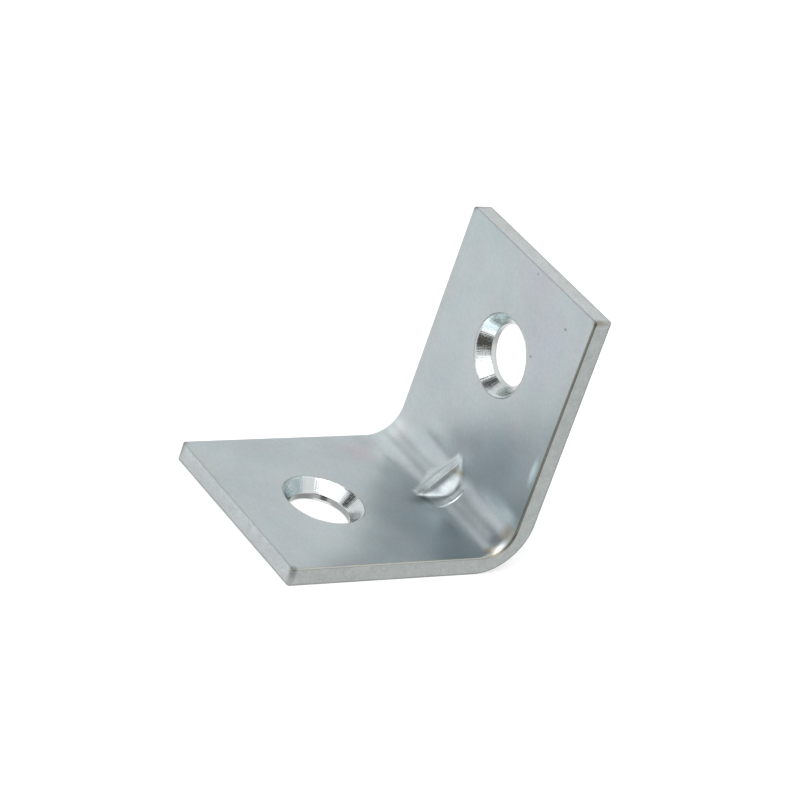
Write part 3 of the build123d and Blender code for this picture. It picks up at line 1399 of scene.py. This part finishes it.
    def sink(self) -> bpy.types.Material:
        """Turned cone of a countersink."""
        look = TurnedSink()
        material, graph, shader = self.principled("turned_sink")
        low, high = self.sizes.hole_places
        place = self.stored(graph, "flat")
        values = {"Place": place, "First centre": low, "Second centre": high, "Split": self.sizes.fold_start}
        rings, flutes = graph.add("ShaderNodeGroup", values, node_tree=self.turned).outputs
        tone = graph.math("MULTIPLY_ADD", flutes, look.mark_tone, 1.0)
        tone = graph.math("MULTIPLY_ADD", rings, look.mark_tone, tone)
        graph.put(shader, "Base Color", graph.toned(look.colour, tone))
        graph.put(shader, "Roughness", look.roughness)
        speckle = self.noise(graph, place, look.speckle_size)
        height = graph.math("MULTIPLY_ADD", speckle, look.speckle_relief, flutes)
        height = graph.math("MULTIPLY_ADD", rings, look.ring_relief, height)
        graph.relief(shader, height, look.relief)
        return material

    def bore(self) -> bpy.types.Material:
        """Punched wall under a countersink."""
        look = PunchedBore()
        material, graph, shader = self.principled("punched_bore")
        along = graph.split(self.stored(graph, "flat"))[1]
        upright = graph.math("GREATER_THAN", along, self.sizes.fold_start)
        # Painted light and shade: the upright's bore lighter, the base's darker.
        tone = graph.math("MULTIPLY_ADD", upright, look.upright_gain, 1.0)
        graph.put(shader, "Base Color", graph.toned(look.colour, tone))
        graph.put(shader, "Roughness", look.roughness)
        return material

    def all(self) -> dict[Finish, bpy.types.Material]:
        """Every finish of the bracket."""
        return {
            Finish.SKIN: self.skin(),
            Finish.EDGE: self.edge(),
            Finish.SINK: self.sink(),
            Finish.BORE: self.bore(),
        }


@dataclass(frozen=True)
class Camera:
    """The photograph's point of view."""

    azimuth: float = math.radians(48.711)
    elevation: float = math.radians(26.511)
    roll: float = math.radians(19.633)
    distance: float = 349.686 * MM
    aim: tuple[float, float, float] = (0.874 * MM, 0.591 * MM, 12.616 * MM)
    lens: float = 179.888
    sensor: float = 36.0
    shift: Span = (-0.5 / PICTURE_SIDE, 0.5 / PICTURE_SIDE)
    clip: Span = (10 * MM, 10.0)

    def build(self) -> None:
        """Adds the camera to the scene."""
        data = bpy.data.cameras.new("photo_camera")
        data.lens = self.lens
        data.sensor_width = self.sensor
        data.shift_x, data.shift_y = self.shift
        data.clip_start, data.clip_end = self.clip
        camera = new_object("photo_camera", data)
        back = Vector((
            math.sin(self.azimuth) * math.cos(self.elevation),
            -math.cos(self.azimuth) * math.cos(self.elevation),
            math.sin(self.elevation),
        ))
        turn = (-back).to_track_quat("-Z", "Y").to_matrix().to_4x4() @ Matrix.Rotation(self.roll, 4, "Z")
        camera.matrix_world = Matrix.Translation(Vector(self.aim) + back * self.distance) @ turn
        bpy.context.scene.camera = camera


@dataclass(frozen=True)
class Panel:
    """A light or dark area of the studio, by its direction from the bracket, in degrees.

    Azimuth turns anticlockwise from +X, seen from above.
    """

    azimuth: float
    elevation: float
    half_width: float
    half_height: float
    radiance: float
    softness: float = 0.3
    tint: Colour = (1.0, 1.0, 1.0)

    @property
    def facing(self) -> Vector:
        """Direction of the panel's middle."""
        turn, lift = math.radians(self.azimuth), math.radians(self.elevation)
        return Vector((math.cos(turn) * math.cos(lift), math.sin(turn) * math.cos(lift), math.sin(lift)))

    @property
    def across(self) -> Vector:
        """Level direction along the panel's width."""
        turn = math.radians(self.azimuth)
        return Vector((-math.sin(turn), math.cos(turn), 0))


class Studio:
    """Pale floor and a soft light tent, as the metal reflects it."""

    panels = (
        Panel(110, 5, 60, 30, 0.82, 0.6),
        Panel(-100, -35, 30, 18, 1.0, 0.6),
        Panel(45, -30, 32, 22, 0.68, 0.6),
        Panel(-141, 54, 17, 9, 0.08, 0.45),
        Panel(-126, 34.5, 11, 9, 0.04, 0.35),
        Panel(-62, 43, 28, 16, 1.8, 0.35),
        Panel(-42, 62, 24, 9, 5.0, 0.25),
        Panel(35, 38, 26, 11, 1.05, 0.6),
        Panel(-16, 11, 20, 23, 0.14, 0.35, (1.0, 0.87, 0.72)),
        Panel(-39, -12, 12, 20, 0.09, 0.3, (1.0, 0.9, 0.8)),
        Panel(-35, -55, 26, 18, 2.6, 0.3),
    )
    horizon = 1.0
    sky = 1.05
    sky_height = 0.5
    backdrop = (0.97, 0.97, 0.97)
    floor_half = 1.5
    floor_drop = 0.02 * MM
    paper = (0.5, 0.5, 0.5, 1)
    paper_glow = 0.55
    least_ahead = 0.001

    def world(self) -> bpy.types.World:
        """Builds the light tent from its panels.

        Returns:
            The world, plain and pale to the camera.
        """
        world = bpy.data.worlds.new("light_tent")
        graph = new_graph(world)
        mask = shader_group(
            "panel_mask",
            {
                "Direction": ("NodeSocketVector", None),
                "Facing": ("NodeSocketVector", None),
                "Across": ("NodeSocketVector", None),
                "Upward": ("NodeSocketVector", None),
                "Half width": ("NodeSocketFloat", 0.5),
                "Half height": ("NodeSocketFloat", 0.5),
                "Softness": ("NodeSocketFloat", 0.3),
            },
            {"Mask": "NodeSocketFloat"},
            self.fill_panel_mask,
        )
        direction = graph.vector("NORMALIZE", graph.add("ShaderNodeTexCoord").outputs["Generated"])
        level = graph.remap(graph.split(direction)[2], 0.0, self.sky_height, self.horizon, self.sky)
        colour = graph.combine(level, level, level)
        for panel in self.panels:
            values = {
                "Direction": direction,
                "Facing": tuple(panel.facing),
                "Across": tuple(panel.across),
                "Upward": tuple(panel.facing.cross(panel.across)),
                "Half width": math.tan(math.radians(panel.half_width)),
                "Half height": math.tan(math.radians(panel.half_height)),
                "Softness": panel.softness,
            }
            share = graph.add("ShaderNodeGroup", values, node_tree=mask).outputs[0]
            colour = graph.mix(share, colour, tuple(panel.radiance * part for part in panel.tint))
        seen = graph.add("ShaderNodeLightPath").outputs["Is Camera Ray"]
        colour = graph.mix(seen, colour, self.backdrop)
        light = graph.add("ShaderNodeBackground", {"Color": colour, "Strength": 1.0})
        graph.add("ShaderNodeOutputWorld", {"Surface": light.outputs[0]})
        return world

    @classmethod
    def fill_panel_mask(cls, graph: Graph, given: Any) -> dict[str, Any]:
        """Soft-edged rectangle in one direction, 1 inside it and 0 outside.

        Args:
            graph: The group's graph.
            given: The group's inputs.

        Returns:
            The group's outputs, by name.
        """
        ahead = graph.vector("DOT_PRODUCT", given["Direction"], given["Facing"])
        depth = graph.math("MAXIMUM", ahead, cls.least_ahead)
        amount = graph.math("GREATER_THAN", ahead, cls.least_ahead)
        full = graph.math("SUBTRACT", 1.0, given["Softness"])
        gone = graph.math("ADD", 1.0, given["Softness"])
        for side, half in (("Across", "Half width"), ("Upward", "Half height")):
            off = graph.math("ABSOLUTE", graph.vector("DOT_PRODUCT", given["Direction"], given[side]))
            share = graph.math("DIVIDE", graph.math("DIVIDE", off, depth), given[half])
            amount = graph.math("MULTIPLY", amount, graph.remap(share, full, gone, 1.0, 0.0))
        return {"Mask": amount}

    def floor(self) -> None:
        """Adds the pale floor. The metal mirrors the light tent instead of it."""
        mesh = bpy.data.meshes.new("floor")
        half = self.floor_half
        corners = [(-half, -half, 0), (half, -half, 0), (half, half, 0), (-half, half, 0)]
        mesh.from_pydata(corners, [], [(0, 1, 2, 3)])
        floor = new_object("floor", mesh)
        floor.location.z = -self.floor_drop
        material = bpy.data.materials.new("floor_paper")
        graph = new_graph(material)
        paper = graph.add("ShaderNodeBsdfDiffuse", {"Color": self.paper})
        lift = graph.add("ShaderNodeEmission", {"Color": (1, 1, 1, 1), "Strength": self.paper_glow})
        pale = graph.add("ShaderNodeAddShader", {0: paper.outputs[0], 1: lift.outputs[0]})
        clear = graph.add("ShaderNodeBsdfTransparent")
        mirrored = graph.add("ShaderNodeLightPath").outputs["Is Glossy Ray"]
        surface = graph.add("ShaderNodeMixShader", {0: mirrored, 1: pale.outputs[0], 2: clear.outputs[0]})
        graph.add("ShaderNodeOutputMaterial", {"Surface": surface.outputs[0]})
        mesh.materials.append(material)

    def build(self) -> None:
        """Adds the floor, the light and the view settings."""
        scene = bpy.context.scene
        scene.view_settings.view_transform = "Standard"
        scene.world = self.world()
        self.floor()


def main() -> None:
    """Builds the bracket and its studio."""
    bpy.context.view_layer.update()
    sizes = Sizes.from_frame()
    blank = Blank(sizes, BlankGrid()).build()
    LOG.info("blank: %d quads", len(blank.data.polygons))
    sheet = PressAndFold(sizes, Rib(), DieRoll()).fold(blank, MetalFinish(sizes).all())
    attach(sheet, "root")
    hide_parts(NODE)
    LOG.info("folded sheet: %d quads", len(sheet.data.polygons))
    Studio().build()
    Camera().build()


if __name__ == "__main__":
    logging.basicConfig(level=logging.INFO, format="%(name)s: %(message)s")
    main()
